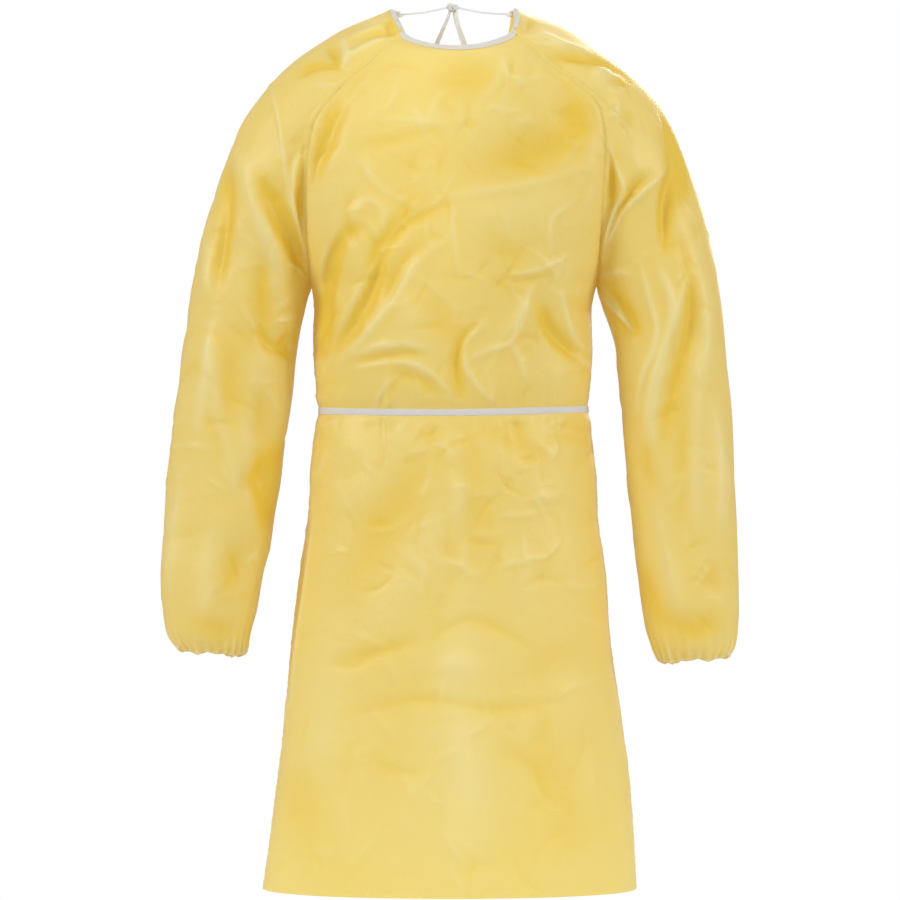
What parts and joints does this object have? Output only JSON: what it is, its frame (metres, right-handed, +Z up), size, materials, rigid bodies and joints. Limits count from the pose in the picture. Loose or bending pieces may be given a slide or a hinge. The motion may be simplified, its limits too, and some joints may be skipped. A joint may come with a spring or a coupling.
{
  "type": "chemical protective gown",
  "caption": "Knee-length protective gown of coated nonwoven cloth, in its worn hollow shape, with raglan sleeves, gathered wrists, a taped neck, neck ties and a tape belt.",
  "frame": {"origin": "between the shoulders, level with the base of the neck, where a wearer's shoulders hold the gown", "axes": "+Z up, the front of the gown faces -Y, +X towards the sleeve that is on the right when seen from the front"},
  "size_m": [0.748, 0.299, 1.1577],
  "materials": {
    "cloth": "soft sheen, coated nonwoven",
    "tape": "matt"
  },
  "bodies": {
    "root": {"front_panel": "cloth", "back_panel_left": "cloth", "back_panel_right": "cloth", "sleeve_left": "cloth", "sleeve_right": "cloth", "neck_binding": "tape", "neck_tie_left": "tape", "neck_tie_right": "tape", "neck_knot": "tape", "neck_tail_left": "tape", "neck_tail_right": "tape", "waist_belt": "tape", "belt_knot": "tape", "belt_tail_left": "tape", "belt_tail_right": "tape"}
  },
  "joints": []
}
